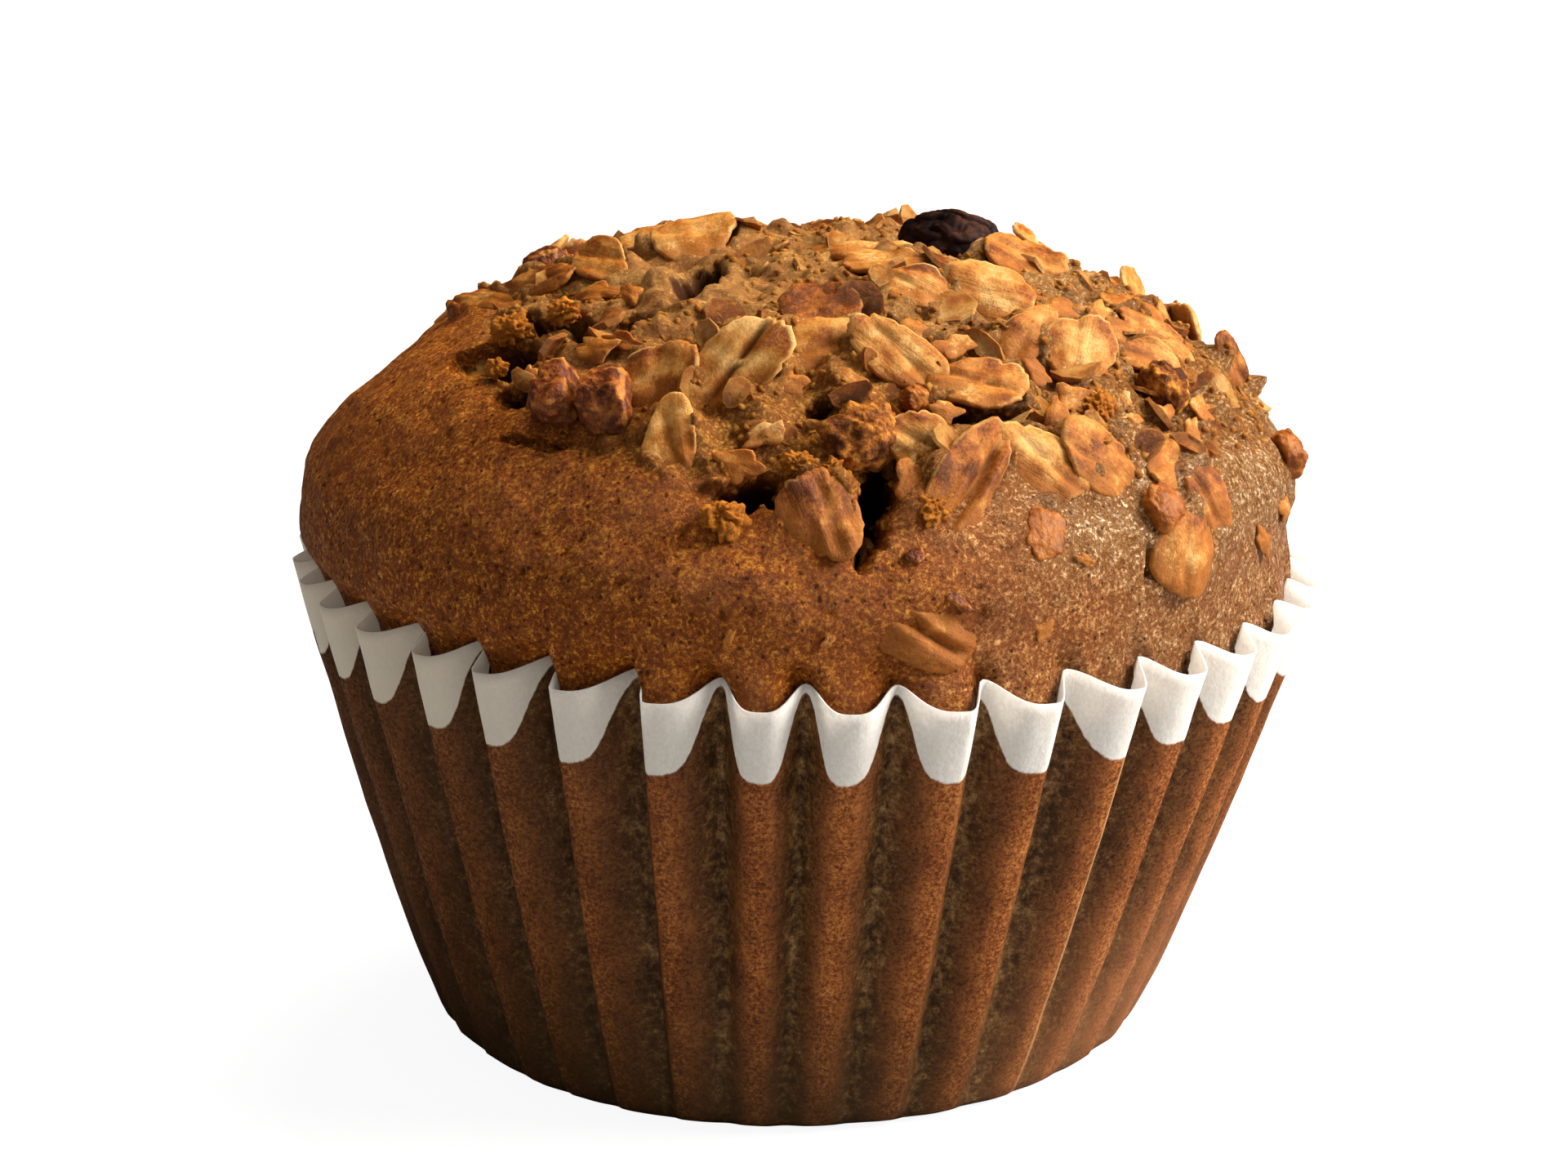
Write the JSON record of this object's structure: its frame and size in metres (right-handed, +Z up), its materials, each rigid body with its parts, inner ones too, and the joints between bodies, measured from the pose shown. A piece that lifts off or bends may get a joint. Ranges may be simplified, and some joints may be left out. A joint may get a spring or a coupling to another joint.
{
  "type": "muffin",
  "caption": "Domed oat and raisin muffin standing upright in a fluted white paper case, with rolled oats, nut pieces and crumbs baked into its craggy brown crust.",
  "frame": {"origin": "centre of the paper case's flat bottom", "axes": "+Z up out of the case, +Y to the back of the pictured view, +X to its right"},
  "size_m": [0.0738, 0.0734, 0.0584],
  "materials": {
    "case_paper": "white greaseproof paper, stained brown where it touches the cake",
    "baked_crust": "matt baked crust with oats",
    "dried_fruit": "slightly glossy, wrinkled"
  },
  "bodies": {
    "root": {"paper_case": "case_paper", "muffin": "baked_crust", "raisin": "dried_fruit"}
  },
  "joints": []
}
